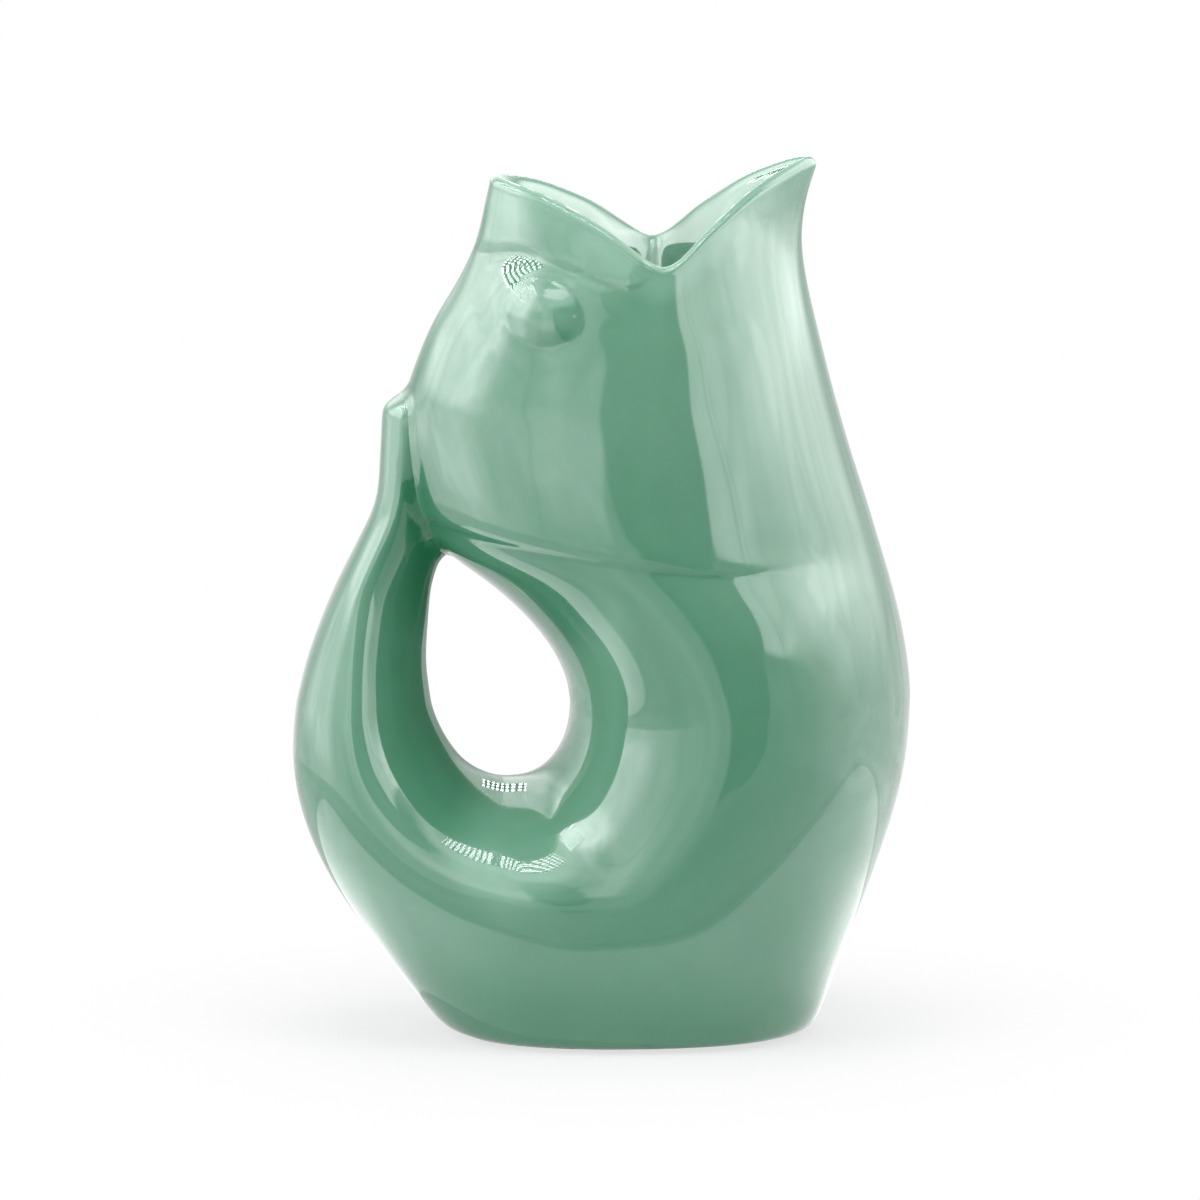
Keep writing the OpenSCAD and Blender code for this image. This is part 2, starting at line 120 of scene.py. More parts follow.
def hermite(keys, at, column):
    """A smooth curve through one column of a table."""
    k = np.array([row[0] for row in keys], float)
    v = np.array([row[column] for row in keys], float)
    at = np.asarray(at, float)
    if k[0] > k[-1]:
        k, at = -k, -at
    slope = np.empty_like(v)
    slope[1:-1] = (v[2:] - v[:-2]) / (k[2:] - k[:-2])
    slope[0] = (v[1] - v[0]) / (k[1] - k[0])
    slope[-1] = (v[-1] - v[-2]) / (k[-1] - k[-2])
    i = np.clip(np.searchsorted(k, at, side="right") - 1, 0, len(k) - 2)
    span = k[i + 1] - k[i]
    f = np.clip((at - k[i]) / span, 0, 1)
    a, b = v[i], v[i + 1]
    sa, sb = slope[i] * span, slope[i + 1] * span
    return a + f * (sa + f * (3 * (b - a) - 2 * sa - sb + f * (sa + sb - 2 * (b - a))))


def blurred(values, sigma):
    """Numbers or rings in a row, rounded over a few places, with their ends held."""
    n = max(1, int(3 * sigma))
    kernel = np.exp(-0.5 * (np.arange(-n, n + 1) / sigma) ** 2)
    kernel /= kernel.sum()
    head = 2 * values[0] - values[n:0:-1]
    tail = 2 * values[-1] - values[-2:-n - 2:-1]
    wide = np.concatenate([head, values, tail])
    return sum(k * wide[i:i + len(values)] for i, k in enumerate(kernel))


class Curve:
    """One column of a table: a cubic through its rows, rounded over a short stretch."""

    def __init__(self, keys, column, blur, samples=1601):
        low, high = sorted((keys[0][0], keys[-1][0]))
        self.x = np.linspace(low, high, samples)
        y = hermite(keys, self.x, column)
        self.y = blurred(y, blur / (self.x[1] - self.x[0]))

    def __call__(self, at):
        return np.interp(at, self.x, self.y)


def columns(keys, blur):
    """A table's curves, rounded over a reach in the units of its first column."""
    return [Curve(keys, c, blur) for c in range(1, len(keys[0]))]


bowl_c, bowl_f = columns(BOWL, 4.0), columns(BOWL_FULL, 6.0)
body_c, body_f = columns(BODY, 0.010), columns(BODY_FULL, 0.015)
tail_c, tail_f = columns(TAIL, 0.010), columns(TAIL_FULL, 0.015)
rim_c = columns(RIM, 3.0)[0]
gill_c = columns(GILL, 0.02)[0]
band_c = columns(BAND, 0.008)[0]


def signed_power(v, p):
    return np.sign(v) * np.abs(v) ** p


def ease(f):
    """0 below 0, 1 above 1 and smooth between."""
    f = np.clip(f, 0, 1)
    return f * f * (3 - 2 * f)


def section(t, near, far, deepest, half, full_near, full_far):
    """A rounded section, fuller on one side of its deepest place than on the other."""
    c, s = np.cos(t), np.sin(t)
    power = 2 / (full_near + (full_far - full_near) * (1 + c) / 2)
    reach = np.where(c < 0, deepest - near, far - deepest)
    return deepest + reach * signed_power(c, power), half * signed_power(s, power)


def rest_on(z, level):
    """Heights kept above a level, rounded into it."""
    above = z - level
    rounded = level + (above + BASE_ROUND) ** 2 / (4 * BASE_ROUND)
    return np.where(above > BASE_ROUND, z, np.where(above < -BASE_ROUND, level, rounded))


def bowl_ring(angle, inset=0.0, level=FOOT):
    a = math.radians(angle)
    unit = math.hypot(LENGTH * math.cos(a), HEIGHT * math.sin(a))
    near = bowl_c[0](angle) + inset / unit
    far = bowl_c[1](angle) - inset / unit
    deepest = near + (far - near) * bowl_c[2](angle)
    half = bowl_c[3](angle) * DEPTH - inset
    out, y = section(TURNS, near, far, deepest, half, bowl_f[0](angle), bowl_f[1](angle))
    x = (GRIP[0] + out * math.cos(a)) * LENGTH
    z = rest_on((GRIP[1] + out * math.sin(a)) * HEIGHT, level)
    return np.stack([x, y, z], 1)


def body_ring(up, inset=0.0):
    degrees = np.degrees(TURNS)
    rim = rim_c(np.where(degrees > 180, 360 - degrees, degrees)) - LIP / 2 / HEIGHT
    z = GRIP[1] + (rim - GRIP[1]) * up
    x, y = section(
        TURNS, body_c[0](z) + inset / LENGTH, body_c[1](z) - inset / LENGTH, body_c[2](z),
        body_c[3](z) * DEPTH - inset, body_f[0](z), body_f[1](z))
    return np.stack([x * LENGTH, y, z * HEIGHT], 1)


def tail_ring(z, inset=0.0):
    near = tail_c[0](z) + inset / LENGTH
    far = tail_c[1](z) - inset / LENGTH
    deepest = near + (far - near) * tail_c[2](z)
    half = tail_c[3](z) * DEPTH - inset
    out, y = section(TURNS, near, far, deepest, half, tail_f[0](z), tail_f[1](z))
    return np.stack([(GRIP[0] - out) * LENGTH, y, np.full(POINTS, z * HEIGHT)], 1)


def head_back(z, y):
    """Where the back of the head lies, at a height and some places across."""
    back, deepest, half = body_c[0](z), body_c[2](z), body_c[3](z) * DEPTH
    full = body_f[0](z)
    side = np.clip(np.abs(y) / half, 0, 1)
    return (deepest - (deepest - back) * (1 - side ** full) ** (1 / full)) * LENGTH


# Relief on the head
EYE = (-0.0995 * LENGTH, 0.8390 * HEIGHT)
EYE_HALF = (0.0111, 0.0094)
EYE_RISE, EYE_EDGE, EYE_REACH = 0.0036, 0.0004, 2.5
MOUND_RISE, MOUND_REACH, MOUND_SLOPE, MOUND_LEAST = 0.0015, 1.95, 0.85, 0.10
MOUND_TURN, MOUND_BLEND = math.radians(50), 1.1
BROW_START, BROW_END = (-0.0096, 0.2345), (0.0125, 0.2220)
BROW_RISE, BROW_WIDTH, BROW_IN, BROW_OUT = 0.0007, 0.0034, 0.25, 0.7
BAND_RISE, BAND_EDGE, BAND_END, BAND_FADE = 0.0013, 0.0016, 0.068, 0.006
GILL_RISE, GILL_EDGE, GILL_FADE = 0.0019, 0.0022, 0.028
GILL_END, GILL_TAPER = 0.36, 0.30


def eye_offset(x, z):
    """How far a place is from the eye's middle, in half sizes of the eye."""
    return (x - EYE[0]) / EYE_HALF[0], (z - EYE[1]) / EYE_HALF[1]


def eye_relief(x, z):
    """A domed eye on a low mound, which falls away over the eye and behind it."""
    u, w = eye_offset(x, z)
    r = np.hypot(u, w)
    behind = 0.5 - 0.5 * np.cos(np.arctan2(w, u) + MOUND_TURN)
    behind = 0.5 + (behind - 0.5) * ease(r / MOUND_BLEND)
    p = EYE_RISE * (1 - r * r)
    dome = np.where(r < EYE_REACH, 0.5 * (p + np.sqrt(p * p + EYE_EDGE ** 2)), 0)
    mound = MOUND_RISE * ease((MOUND_REACH - r) / MOUND_SLOPE)
    return dome + mound * (MOUND_LEAST + (1 - MOUND_LEAST) * behind)


def brow(x, z):
    """A low ridge from over the eye forward and down, which tapers to its end."""
    (x0, z0), (x1, z1) = BROW_START, BROW_END
    length = math.hypot(x1 - x0, z1 - z0)
    along = ((x - x0) * (x1 - x0) + (z - z0) * (z1 - z0)) / length
    across = ((z - z0) * (x1 - x0) - (x - x0) * (z1 - z0)) / length
    fade = ease(along / length / BROW_IN + 0.5) * ease((1 - along / length) / BROW_OUT)
    return BROW_RISE * fade * np.exp(-(across / BROW_WIDTH) ** 2 / 2)


def step(above, rise, edge):
    """A rounded step up from an edge, by the height above it."""
    return rise * (1 - np.exp(-np.clip(above, 0, None) / edge))


def lip_band(x, z):
    rise = step(z - band_c(x / LENGTH) * HEIGHT, BAND_RISE, BAND_EDGE)
    return rise * ease((BAND_END * LENGTH - x) / BAND_FADE + 0.5)


def gill_cover(x, z):
    above = z - gill_c(x / LENGTH) * HEIGHT
    rise = step(above, GILL_RISE, GILL_EDGE) * np.exp(-np.clip(above, 0, None) / GILL_FADE)
    return rise * ease((GILL_END - x / LENGTH) / GILL_TAPER)


def relief(x, z):
    return eye_relief(x, z) + lip_band(x, z) + gill_cover(x, z) + brow(x, z)


# Grids of rings
def normals_of(grid):
    """Smooth outward normals of rings of points, the rings closed round and open at their ends."""
    along = np.gradient(grid, axis=0)
    around = np.roll(grid, -1, axis=1) - np.roll(grid, 1, axis=1)
    n = np.cross(around, along)
    n /= np.maximum(np.linalg.norm(n, axis=2, keepdims=True), 1e-12)
    return n


# The outer skin, from the tail's tip down, round the bowl and up to the lip
fin_heights = np.linspace(FIN_SHOULDER, FIN_ROOT, FIN_RINGS + 1)
tail_heights = np.linspace(FIN_ROOT, GRIP[1], TAIL_RINGS + 1)[1:]
bowl_steps = np.linspace(-180, 0, BOWL_RINGS + 1)[1:]
body_steps = np.linspace(0, 1, BODY_RINGS + 1)[1:]

TIP_ROUND = 0.8
shoulder = tail_ring(FIN_SHOULDER)
centre = shoulder.mean(0)
tip = []
for k in range(TIP_RINGS, 0, -1):
    turn = math.pi / 2 * k / (TIP_RINGS + 0.5)
    ring = centre + (shoulder - centre) * math.cos(turn) ** TIP_ROUND
    ring[:, 2] = (FIN_SHOULDER + (FIN_TOP - FIN_SHOULDER) * math.sin(turn)) * HEIGHT
    tip.append(ring)
outer = np.array(
    tip
    + [tail_ring(h) for h in fin_heights]
    + [tail_ring(h) for h in tail_heights]
    + [bowl_ring(a) for a in bowl_steps]
    + [body_ring(u) for u in body_steps]
)
ROOT_ROW = TIP_RINGS + FIN_RINGS
SEAM_ROW = ROOT_ROW + TAIL_RINGS
HEAD_ROW = SEAM_ROW + BOWL_RINGS
SKIN_BLUR, INNER_BLUR = 1.6, 1.2
outer = blurred(outer, SKIN_BLUR)

# The normals point outward where a ring of the belly's does
outer_n = normals_of(outer)
neck = HEAD_ROW + 20
if np.sum(outer_n[neck] * (outer[neck] - outer[neck].mean(0))) < 0:
    outer_n = -outer_n

# Relief, along the skin's own normal, on its two flanks and above the belly
RELIEF_FOOT, RELIEF_FADE, FLANK = 0.118, 0.02, 0.35
head_rows = slice(HEAD_ROW, len(outer))
head_x, head_z = outer[head_rows, :, 0], outer[head_rows, :, 2]
flank = ease(np.abs(np.sin(TURNS)) / FLANK)
lift = relief(head_x, head_z) * flank[None, :] * ease((head_z - RELIEF_FOOT) / RELIEF_FADE)
outer[head_rows] += outer_n[head_rows] * lift[:, :, None]

# The fin is cut to the back of the head, a little inside its clay
FIN_SINK = 0.0016
for i in range(ROOT_ROW + 1):
    back = head_back(min(outer[i, 0, 2] / HEIGHT, FIN_TOP), outer[i, :, 1]) + FIN_SINK
    outer[i, :, 0] = np.minimum(outer[i, :, 0], back)


def nearest(points, cloud):
    """Distance of each point to the nearest of a cloud."""
    tree = KDTree(len(cloud))
    for i, p in enumerate(cloud):
        tree.insert(p, i)
    tree.balance()
    return np.array([tree.find(p)[2] for p in points])


# Clay run into the corner between the fin and the head
FILLET = 0.0055
JOINT_FRONT, JOINT_FOOT, JOINT_TOP = -0.030, 0.125, 0.206
tail_rows = slice(0, SEAM_ROW)
tail_flat = outer[tail_rows].reshape(-1, 3)
head_flat = outer[head_rows].reshape(-1, 3)
head_heights = head_flat[:, 2]
near_head = (head_flat[:, 0] < JOINT_FRONT) & (head_heights > JOINT_FOOT)
near_head &= head_heights < JOINT_TOP
near_tail = tail_flat[:, 2] > JOINT_FOOT
tail_gap = nearest(tail_flat[near_tail], head_flat[near_head])
head_gap = nearest(head_flat[near_head], tail_flat[near_tail])


def fillet(gap):
    return np.clip(FILLET - gap, 0, None) ** 2 / (2 * FILLET)


tail_n = outer_n[tail_rows].reshape(-1, 3)
head_n = outer_n[head_rows].reshape(-1, 3)
tail_flat[near_tail] += tail_n[near_tail] * fillet(tail_gap)[:, None]
head_flat[near_head] += head_n[near_head] * fillet(head_gap)[:, None]
outer[tail_rows] = tail_flat.reshape(outer[tail_rows].shape)
outer[head_rows] = head_flat.reshape(outer[head_rows].shape)

skin_n = normals_of(outer)
if np.sum(skin_n * outer_n) < 0:
    skin_n = -skin_n

# The skin stays inside the solids' own box, also behind the tail
KEEP_BACK, KEEP_SIDES = 0.9975, 0.999
outer[:, :, 0] *= np.where(outer[:, :, 0] < 0, KEEP_BACK, 1)
outer[:, :, 1] *= KEEP_SIDES

# Where glaze pools and where it runs thin: how hollow or proud the skin is at each point, with painted
# shade deepest in the nook between tail and head, and painted light on the side of the grip's hole
# that faces up
HOLLOW_FULL, HOLLOW_LEAST, HOLLOW_MOST, LEAST_STEP = 260, -0.6, 0.4, 2e-4
NOOK, NOOK_SHADE_TAIL, NOOK_SHADE_HEAD = 0.034, 1.3, 0.7
HOLE, HOLE_HALF, HOLE_EDGE, HOLE_FADE = (-0.0308, 0.111), (0.036, 0.062), 1.12, 0.2
UPPER_SLOPE, UPPER_START, UPPER_FADE = 0.6, 0.004, 0.02
THINNEST_AND_MOST_LIT, DEEPEST_POOL_AND_SHADE = -1, 1.3
step_u = np.linalg.norm(np.roll(outer, -1, axis=1) - outer, axis=2)
mean_u = 0.5 * (np.roll(outer, -1, axis=1) + np.roll(outer, 1, axis=1)) - outer
mean_v = np.zeros_like(outer)
mean_v[1:-1] = 0.5 * (outer[2:] + outer[:-2]) - outer[1:-1]
span_v = np.ones(outer.shape[:2])
span_v[1:-1] = np.linalg.norm(outer[2:] - outer[:-2], axis=2) / 2
pooling_shade_light = (
    np.sum(mean_u * skin_n, axis=2) / np.maximum(step_u, LEAST_STEP) ** 2
    + np.sum(mean_v * skin_n, axis=2) / np.maximum(span_v, LEAST_STEP) ** 2
)
pooling_shade_light = np.clip(pooling_shade_light / HOLLOW_FULL, HOLLOW_LEAST, HOLLOW_MOST)
# Painted shade: in the nook, the faces of tail and head that turn to each other are darkened further
nook_shade_tail, nook_shade_head = np.zeros(len(tail_flat)), np.zeros(len(head_flat))
nook_shade_tail[near_tail] = ease(1 - tail_gap / NOOK) * ease(tail_n[near_tail][:, 0] / 0.5 + 0.3)
nook_shade_head[near_head] = ease(1 - head_gap / NOOK) * ease(0.3 - head_n[near_head][:, 0] / 0.5)
pooling_shade_light[tail_rows] += NOOK_SHADE_TAIL * nook_shade_tail.reshape(pooling_shade_light[tail_rows].shape)
pooling_shade_light[head_rows] += NOOK_SHADE_HEAD * nook_shade_head.reshape(pooling_shade_light[head_rows].shape)
beside_x, beside_z = outer[:, :, 0] - HOLE[0], outer[:, :, 2] - HOLE[1]
from_hole = np.hypot(beside_x / HOLE_HALF[0], beside_z / HOLE_HALF[1])
# Painted light: the side of the grip's hole that faces up is made paler, as if lit from above
painted_light_by_hole = ease((HOLE_EDGE - from_hole) / HOLE_FADE)
pooling_shade_light -= painted_light_by_hole * ease((beside_x - UPPER_SLOPE * beside_z - UPPER_START) / UPPER_FADE)
pooling_shade_light = np.clip(pooling_shade_light, THINNEST_AND_MOST_LIT, DEEPEST_POOL_AND_SHADE)
for _ in range(3):
    pooling_shade_light = 0.5 * pooling_shade_light + 0.25 * (np.roll(pooling_shade_light, 1, 1) + np.roll(pooling_shade_light, -1, 1))
    pooling_shade_light[1:-1] = 0.5 * pooling_shade_light[1:-1] + 0.25 * (pooling_shade_light[2:] + pooling_shade_light[:-2])


# Meshes
AROUND = np.arange(POINTS)
AFTER = (AROUND + 1) % POINTS


def bridge(first, second):
    """Quads between two rings, each given by its first point."""
    return np.stack([first + AROUND, first + AFTER, second + AFTER, second + AROUND], 1).tolist()


def strips(rings, first=0):
    """Quads between neighbouring rings, for rings listed one after another."""
    starts = [first + i * POINTS for i in range(rings)]
    return [quad for start, after in zip(starts, starts[1:]) for quad in bridge(start, after)]


def fan(first, middle, turned=False):
    """Triangles from a ring to its middle."""
    one, other = (AFTER, AROUND) if turned else (AROUND, AFTER)
    return [[first + a, first + b, middle] for a, b in zip(one.tolist(), other.tolist())]


def mesh_volume(points, faces):
    """The signed volume inside the faces, negative where they face inward."""
    total = 0.0
    quads = np.array([f for f in faces if len(f) == 4]).reshape(-1, 4)
    tris = np.array([f for f in faces if len(f) == 3]).reshape(-1, 3)
    for a, b, c in (quads[:, [0, 1, 2]].T, quads[:, [0, 2, 3]].T, tris.T):
        if len(a):
            total += np.sum(points[a] * np.cross(points[b], points[c])) / 6
    return total


def make(name, points, faces, normals=None, pool_shade_light=None):
    """A closed smooth mesh that faces outward, with its own normals if given, and if given its glaze
    depth with painted shade and painted light.
    """
    mesh = bpy.data.meshes.new(name)
    mesh.from_pydata(points.tolist(), [], faces)
    mesh.update()
    if mesh_volume(points, faces) < 0:
        mesh.flip_normals()
    mesh.shade_smooth()
    if pool_shade_light is not None:
        layer = mesh.attributes.new("pool_shade_light", "FLOAT", "POINT")
        layer.data.foreach_set("value", pool_shade_light.astype(np.float32))
    if normals is not None:
        mesh.normals_split_custom_set_from_vertices(normals.tolist())
    obj = bpy.data.objects.new(name, mesh)
    scene.collection.objects.link(obj)
    return obj


def flat(rings):
    """Lists of points, or of anything else, joined to one."""
    return np.concatenate([np.asarray(ring) for ring in rings])


# The lip rolls quickly outside and slopes away inside; below it the wall thins to its own thickness
LIP_SLOPE, LIP_FALL, LIP_FULL, LIP_FADE = 0.0125, 0.085, 0.08, 0.34
LIP_DROOP = 1.35
WALL_RINGS, INNER_BOWL_RINGS = 96, 90
rim_out, rim_in = outer[-1], body_ring(1, LIP_SLOPE)
inner = []
for u in np.linspace(1 - LIP_FALL, 0, WALL_RINGS):
    ring = body_ring(u, WALL + (LIP_SLOPE - WALL) * ease((u - 1 + LIP_FADE) / (LIP_FADE - LIP_FULL)))
    if not inner:
        rim_in[:, 2] = ring[:, 2]
        shift = rim_in - ring
    inner.append(ring + shift * ease((u - 1 + LIP_FADE) / (LIP_FADE - LIP_FALL)))
half_lip = LIP / 2
roll = half_lip / LIP_SLOPE
fall = (rim_out - rim_in)[:, 2:]
lip_rings = []
for k in range(1, LIP_RINGS + 1):
    turn = math.pi * k / (LIP_RINGS + 1)
    c = math.cos(turn)
    if c < 0:
        across = roll - (1 - roll) * c
        level = half_lip - (fall + half_lip) * (-c) ** LIP_DROOP
    else:
        across = roll * (1 - c)
        level = half_lip * math.sin(turn)
    ring = rim_out + (rim_in - rim_out) * across
    ring[:, 2:] = rim_out[:, 2:] + level
    lip_rings.append(ring)
inner += [bowl_ring(a, WALL, FOOT + FLOOR) for a in np.linspace(0, -180, INNER_BOWL_RINGS)[1:]]
inner = blurred(np.array(inner), INNER_BLUR)

body_points = flat([outer[SEAM_ROW:].reshape(-1, 3)] + lip_rings + [inner.reshape(-1, 3)])
outer_rows = len(outer) - SEAM_ROW
rows = outer_rows + LIP_RINGS + len(inner)
body_grid = body_points.reshape(rows, POINTS, 3)
body_normals = normals_of(body_grid)
if np.sum(body_normals[:outer_rows] * skin_n[SEAM_ROW:]) < 0:
    body_normals = -body_normals
LIP_JOIN_ROWS = 3
body_normals[:outer_rows - LIP_JOIN_ROWS] = skin_n[SEAM_ROW:-LIP_JOIN_ROWS]

# The glaze runs thin over the lip, from a few rings below its outer edge to a few past its inner one
THIN_LIP, THIN_BELOW = -0.75, -0.7
THIN_OUTSIDE, THIN_INSIDE, THIN_FADE = 4, 6, 8
thin_from = outer_rows - THIN_OUTSIDE
body_pool_shade_light = np.zeros((rows, POINTS))
# The skin's glaze pooling, painted shade in the nook and painted light by the grip's hole are carried
# over here
body_pool_shade_light[:outer_rows] = pooling_shade_light[SEAM_ROW:]
body_pool_shade_light[thin_from:outer_rows + LIP_RINGS + THIN_INSIDE] = THIN_LIP
body_pool_shade_light[thin_from - THIN_FADE:thin_from] += np.linspace(0, THIN_BELOW, THIN_FADE)[:, None]

# The eyes are cut out of the same skin, so that the glaze runs over them without a seam. The body's
# skin is sunk under each, and an eye keeps the triangles that have a point inside its edge.
EYE_SKIN, EYE_SINK, EYE_LEAST_Y = 0.0011, 0.0012, 0.008
r_eye = np.hypot(*eye_offset(body_grid[:, :, 0], body_grid[:, :, 2]))
on_head = np.zeros((rows, POINTS), bool)
on_head[HEAD_ROW - SEAM_ROW + 1:outer_rows - 2] = True
flat_points, flat_normals = body_grid.reshape(-1, 3), body_normals.reshape(-1, 3)
sunk_points = flat_points.copy()
eye_objects = []
for side, name in ((1, "left_eye"), (-1, "right_eye")):
    within_eye = (r_eye < 1) & on_head & (body_grid[:, :, 1] * side > EYE_LEAST_Y)
    touched = within_eye | np.roll(within_eye, -1, 1)
    row, column = np.nonzero(touched[:-1] | touched[1:])
    start, after = row * POINTS + column, row * POINTS + AFTER[column]
    quad = [start, after, after + POINTS, start + POINTS]
    corners = np.concatenate([np.stack([quad[0], quad[k], quad[k + 1]], 1) for k in (1, 2)])
    inside = within_eye.ravel()
    corners = corners[inside[corners].any(axis=1)]
    sunk_points[inside] -= flat_normals[inside] * EYE_SINK
    used = np.unique(corners)
    behind = used[inside[used]]
    front_of = {int(v): i for i, v in enumerate(used)}
    back_of = dict(front_of)
    back_of.update({int(v): len(used) + i for i, v in enumerate(behind)})
    faces = [[front_of[int(v)] for v in corner] for corner in corners]
    faces += [[back_of[int(v)] for v in corner[::-1]] for corner in corners]
    points = flat([flat_points[used], flat_points[behind] - flat_normals[behind] * EYE_SKIN])
    normals = flat([flat_normals[used], -flat_normals[behind]])
    pool_shade_light = flat([body_pool_shade_light.ravel()[used], np.zeros(len(behind))])
    eye_objects.append((make(name + "_dome", points, faces, normals=normals, pool_shade_light=pool_shade_light), name))

body_faces = strips(rows) + bridge((rows - 1) * POINTS, 0)
glazed_body = make(
    "glazed_body", sunk_points, body_faces, normals=flat_normals, pool_shade_light=body_pool_shade_light.ravel())

# The hollow tail, from the seam up to the middle of its top, then its chamber from the roof down
CHAMBER_RINGS = 40
chamber_top = FIN_ROOT - CHAMBER_CAP / HEIGHT
chamber = [tail_ring(h, WALL) for h in np.linspace(chamber_top, GRIP[1], CHAMBER_RINGS)]
tail_skin = slice(ROOT_ROW, SEAM_ROW + 1)
tail_out = outer[tail_skin][::-1]
tail_points = flat([
    tail_out.reshape(-1, 3), [tail_out[-1].mean(0)], flat(chamber), [chamber[0].mean(0)]])
n_out, n_in = len(tail_out), len(chamber)
hub_top = n_out * POINTS
roof = hub_top + 1
hub_roof = roof + n_in * POINTS
tail_faces = strips(n_out) + strips(n_in, roof) + bridge(roof + (n_in - 1) * POINTS, 0)
tail_faces += fan((n_out - 1) * POINTS, hub_top) + fan(roof, hub_roof, turned=True)
tail_normals = flat([
    skin_n[tail_skin][::-1].reshape(-1, 3), [[0, 0, 1]], np.zeros((n_in * POINTS, 3)), [[0, 0, -1]]])
tail_pool_shade_light = flat([pooling_shade_light[tail_skin][::-1].ravel(), np.zeros(n_in * POINTS + 2)])
glazed_tail = make("glazed_tail", tail_points, tail_faces, normals=tail_normals, pool_shade_light=tail_pool_shade_light)

# The fin, from its tip down to its root
FIN_TIP = 0.0001
fin_out = outer[:ROOT_ROW + 1]
n_fin = len(fin_out)
fin_points = flat([
    fin_out.reshape(-1, 3), [fin_out[0].mean(0) + [0, 0, FIN_TIP]], [fin_out[-1].mean(0)]])
fin_faces = strips(n_fin) + fan(0, n_fin * POINTS, turned=True)
fin_faces += fan((n_fin - 1) * POINTS, n_fin * POINTS + 1)
fin_normals = flat([skin_n[:ROOT_ROW + 1].reshape(-1, 3), [[0, 0, 1]], [[0, 0, -1]]])
fin_pool_shade_light = flat([pooling_shade_light[:ROOT_ROW + 1].ravel(), [0, 0]])
glazed_fin = make("glazed_fin", fin_points, fin_faces, normals=fin_normals, pool_shade_light=fin_pool_shade_light)

# The foot ring
FOOT_MIDDLE_SHARE, FOOT_SHARES = 0.043, (0.545, 0.630)
FOOT_MIDDLE = FOOT_MIDDLE_SHARE * LENGTH
FOOT_HALF = (FOOT_SHARES[0] * LENGTH / 2, FOOT_SHARES[1] * DEPTH / 2)
FOOT_BREADTH, FOOT_FULL, FOOT_EDGE = 0.006, 2.3, 0.0004
FOOT_CORNER = FOOT_EDGE * 0.3


def foot_loop(inset, z):
    """A loop of the foot at a height, some way in from its outer edge."""
    x = (FOOT_HALF[0] - inset) * signed_power(np.cos(TURNS), 2 / FOOT_FULL) + FOOT_MIDDLE
    y = (FOOT_HALF[1] - inset) * signed_power(np.sin(TURNS), 2 / FOOT_FULL)
    return np.stack([x, y, np.full(POINTS, z)], 1)


foot_rings = [
    foot_loop(0, FOOT), foot_loop(0, FOOT_EDGE), foot_loop(FOOT_CORNER, FOOT_CORNER),
    foot_loop(FOOT_EDGE, 0), foot_loop(FOOT_BREADTH / 2, 0), foot_loop(FOOT_BREADTH - FOOT_EDGE, 0),
    foot_loop(FOOT_BREADTH - FOOT_CORNER, FOOT_CORNER), foot_loop(FOOT_BREADTH, FOOT_EDGE),
    foot_loop(FOOT_BREADTH, FOOT),
]
foot_faces = strips(len(foot_rings)) + bridge((len(foot_rings) - 1) * POINTS, 0)
bare_foot = make("bare_foot_ring", flat(foot_rings), foot_faces)


# Materials
def srgb(r, g, b):
    """A colour as Blender takes it, from one in sRGB bytes."""
    def channel(v):
        v /= 255
        return v / 12.92 if v <= 0.04045 else ((v + 0.055) / 1.055) ** 2.4
    return (channel(r), channel(g), channel(b), 1)


def node(tree, kind, **values):
    """A new node with some of its settings, or else its inputs, given by name."""
    n = tree.nodes.new(kind)
    for key, value in values.items():
        if hasattr(n, key):
            setattr(n, key, value)
        else:
            n.inputs[key].default_value = value
    return n


def ramp(tree, source, low, low_color, high, high_color):
    """One colour up to a low value of the source, and another from a high one."""
    n = node(tree, "ShaderNodeValToRGB")
    for element, position, color in zip(n.color_ramp.elements, (low, high), (low_color, high_color)):
        element.position, element.color = position, color
    tree.links.new(source, n.inputs["Fac"])
    return n.outputs["Color"]


def spread(tree, source, low, high, to_low, to_high, **values):
    """A range of the source spread over another range."""
    n = node(tree, "ShaderNodeMapRange", **values)
    ends = {"From Min": low, "From Max": high, "To Min": to_low, "To Max": to_high}
    for name, value in ends.items():
        n.inputs[name].default_value = value
    tree.links.new(source, n.inputs["Value"])
    return n.outputs["Result"]


def noise(tree, coords, scale, detail, roughness, distortion=0.0):
    """Noise fixed to the object."""
    n = node(
        tree, "ShaderNodeTexNoise", Scale=scale, Detail=detail, Roughness=roughness,
        Distortion=distortion)
    tree.links.new(coords.outputs["Object"], n.inputs["Vector"])
    return n


def surface(name, roughness):
    """A material, its shader and the place on the object."""
    mat = bpy.data.materials.new(name)
    mat.use_nodes = True
    bsdf = mat.node_tree.nodes["Principled BSDF"]
    bsdf.inputs["Roughness"].default_value = roughness
    return mat, bsdf, node(mat.node_tree, "ShaderNodeTexCoord")


def bumped(tree, bsdf, height, strength, distance):
    """Roughens a shader's surface by a height."""
    bump = node(tree, "ShaderNodeBump", Strength=strength, Distance=distance)
    tree.links.new(height, bump.inputs["Height"])
    tree.links.new(bump.outputs["Normal"], bsdf.inputs["Normal"])


GLAZE_DARK, GLAZE_LIGHT = srgb(80, 140, 111), srgb(86, 146, 117)
